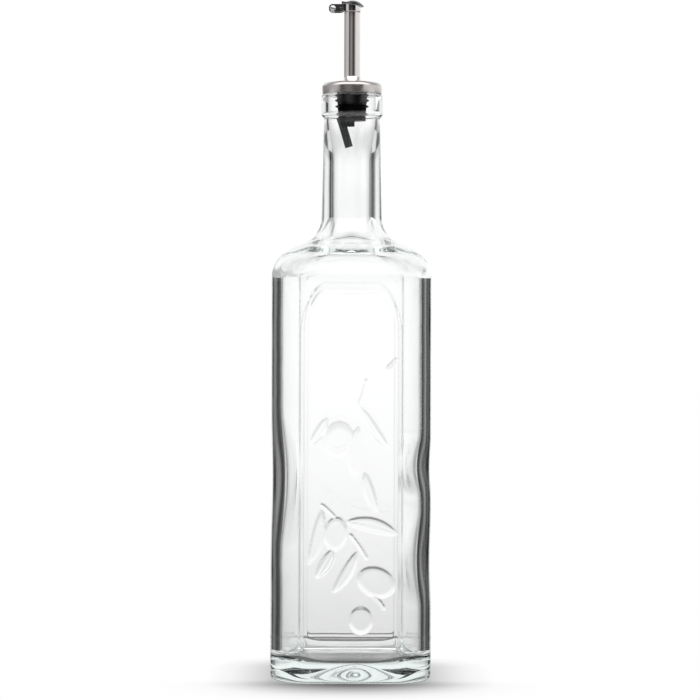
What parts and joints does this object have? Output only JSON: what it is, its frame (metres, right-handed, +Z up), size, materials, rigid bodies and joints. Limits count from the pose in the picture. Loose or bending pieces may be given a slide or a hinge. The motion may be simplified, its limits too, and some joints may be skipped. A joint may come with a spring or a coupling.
{
  "type": "glass oil cruet with flap pourer",
  "caption": "Square clear glass oil bottle with an embossed olive branch panel, finger grips and a steel flap pourer in a black stopper.",
  "frame": {"origin": "middle of the plane that the bottle stands on", "axes": "+Z up along the bottle's axis, the embossed front looks along -Y, the lever of the flap points along -X"},
  "size_m": [0.0784, 0.0784, 0.3365],
  "materials": {
    "clear_glass": "clear moulded glass, faintly green where thick",
    "black_rubber": "black moulded rubber, soft sheen",
    "dark_plastic": "dark grey-green plastic tube",
    "satin_steel": "satin turned steel",
    "polished_steel": "polished steel tube",
    "dark_steel": "polished pressed steel, reads dark"
  },
  "bodies": {
    "cruet": {"bottle": "clear_glass", "stopper": "black_rubber", "breather_tube": "dark_plastic", "spout_cap": "satin_steel", "spout_tube": "polished_steel", "spout_collar": "polished_steel", "hinge_pin": "dark_steel"},
    "lid": {"flap": "dark_steel", "counterweight": "satin_steel"}
  },
  "joints": [
    {"name": "flap_hinge", "type": "hinge", "parent": "cruet", "child": "lid", "pos_m": [-0.0056, 0, 0.332], "axis": [0, -1, 0], "range_deg": [0, 75]}
  ]
}
